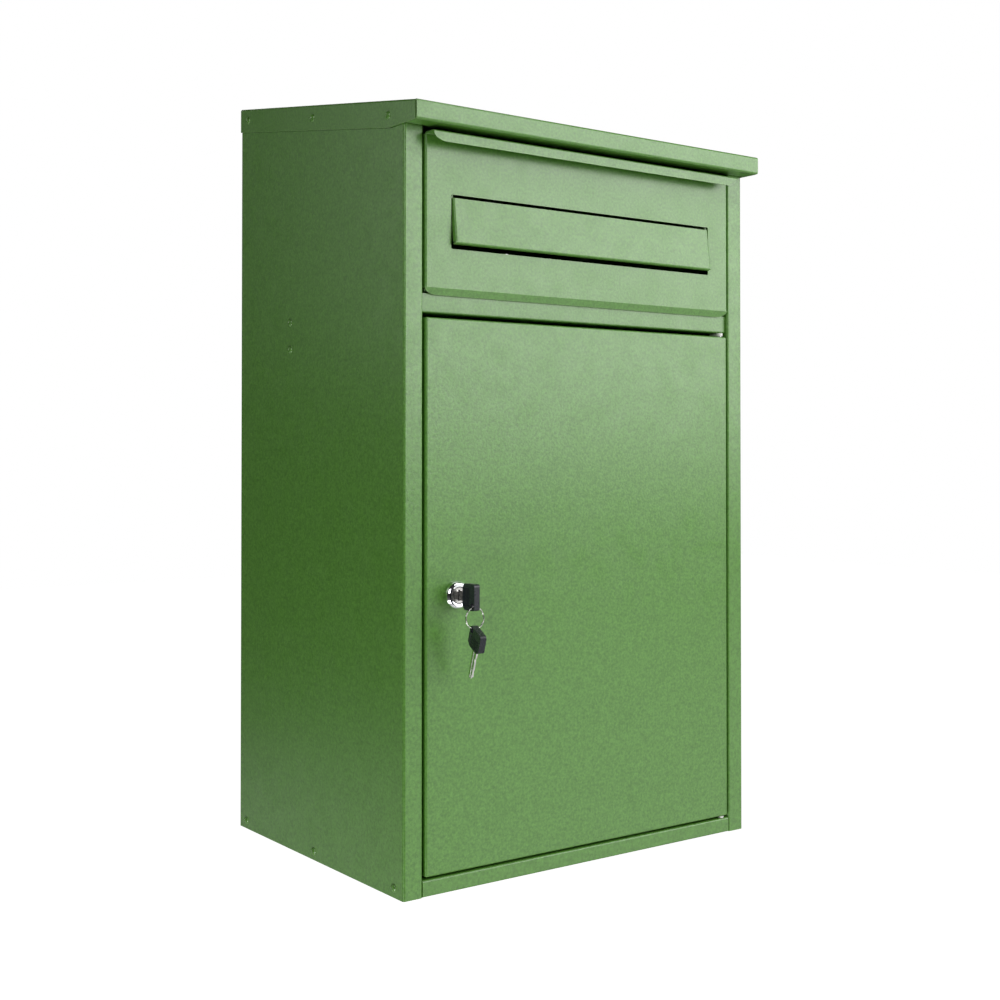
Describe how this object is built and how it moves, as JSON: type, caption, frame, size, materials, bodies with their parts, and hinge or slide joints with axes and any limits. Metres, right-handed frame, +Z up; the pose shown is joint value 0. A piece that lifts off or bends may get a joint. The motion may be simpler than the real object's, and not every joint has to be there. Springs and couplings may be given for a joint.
{
  "type": "wall mounted mailbox",
  "caption": "Lockable wall mounted parcel mailbox of folded green steel, with a pull-down hopper, a letter flap in its front and an emptying door with keys.",
  "frame": {"origin": "middle of the cabinet's width on the wall face of the back panel, 326 mm above the underside", "axes": "+X to the right as seen from the front, +Y into the wall, +Z up; the front faces -Y"},
  "size_m": [0.3656, 0.3179, 0.6513],
  "materials": {
    "enamel": "satin mid green powder coat with a fine texture",
    "zinc": "zinc plated steel, dull bright",
    "chrome": "polished chrome plate",
    "nickel": "nickel plated, fine brushed",
    "nylon": "natural white nylon",
    "black_plastic": "black moulded plastic, fine grain"
  },
  "bodies": {
    "cabinet": {"side_panel_left": "enamel", "side_panel_right": "enamel", "back_panel": "enamel", "floor_pan": "enamel", "cross_rail": "enamel", "roof_cap": "enamel", "baffle_plate": "enamel", "base_rivet_left_front": "enamel", "roof_rivet_left_front": "enamel", "base_rivet_left_middle": "enamel", "roof_rivet_left_middle": "enamel", "base_rivet_left_rear": "enamel", "roof_rivet_left_rear": "enamel", "baffle_rivet_left_upper": "enamel", "baffle_rivet_left_lower": "enamel", "base_rivet_right_front": "enamel", "roof_rivet_right_front": "enamel", "base_rivet_right_middle": "enamel", "roof_rivet_right_middle": "enamel", "base_rivet_right_rear": "enamel", "roof_rivet_right_rear": "enamel", "baffle_rivet_right_upper": "enamel", "baffle_rivet_right_lower": "enamel", "door_bush_top": "nylon", "door_bush_bottom": "nylon"},
    "door": {"door_panel": "enamel", "door_pin_top": "zinc", "door_pin_bottom": "zinc", "lock_housing": "chrome", "lock_nut": "zinc"},
    "lock_barrel": {"lock_plug": "nickel", "lock_cam": "zinc", "cam_screw": "zinc", "key_blade": "nickel", "key_head": "black_plastic"},
    "key_ring": {"key_ring": "nickel"},
    "spare_key": {"spare_key_head": "black_plastic", "spare_key_blade": "nickel"},
    "hopper": {"hopper_panel": "enamel", "hopper_tray": "enamel", "hopper_cheek_left": "enamel", "hopper_cheek_right": "enamel", "hopper_pin_left": "zinc", "hopper_pin_right": "zinc", "hopper_pin_clip_left": "zinc", "hopper_pin_clip_right": "zinc", "flap_rod": "zinc", "flap_bracket_left": "enamel", "flap_bracket_right": "enamel", "flap_rod_cap_left": "nylon", "flap_rod_cap_right": "nylon"},
    "letter_flap": {"letter_flap": "enamel"}
  },
  "joints": [
    {"name": "door_hinge", "type": "hinge", "parent": "cabinet", "child": "door", "pos_m": [0.1555, -0.2728, -0.098], "axis": [0, 0, 1], "range_deg": [0, 115]},
    {"name": "lock_turn", "type": "hinge", "parent": "door", "child": "lock_barrel", "pos_m": [-0.1325, -0.281, -0.098], "axis": [0, -1, 0], "range_deg": [0, 90]},
    {"name": "ring_swing", "type": "hinge", "parent": "lock_barrel", "child": "key_ring", "pos_m": [-0.1325, -0.3018, -0.1054], "axis": [1, 0, 0], "range_deg": [-60, 12]},
    {"name": "spare_key_swing", "type": "hinge", "parent": "key_ring", "child": "spare_key", "pos_m": [-0.1325, -0.3018, -0.1218], "axis": [0.9816, -0.1908, 0], "range_deg": [-20, 8]},
    {"name": "hopper_tilt", "type": "hinge", "parent": "cabinet", "child": "hopper", "pos_m": [0, -0.265, 0.128], "axis": [1, 0, 0], "range_deg": [0, 45]},
    {"name": "letter_flap_lift", "type": "hinge", "parent": "hopper", "child": "letter_flap", "pos_m": [0, -0.2734, 0.2068], "axis": [-1, 0, 0], "range_deg": [0, 70]}
  ]
}
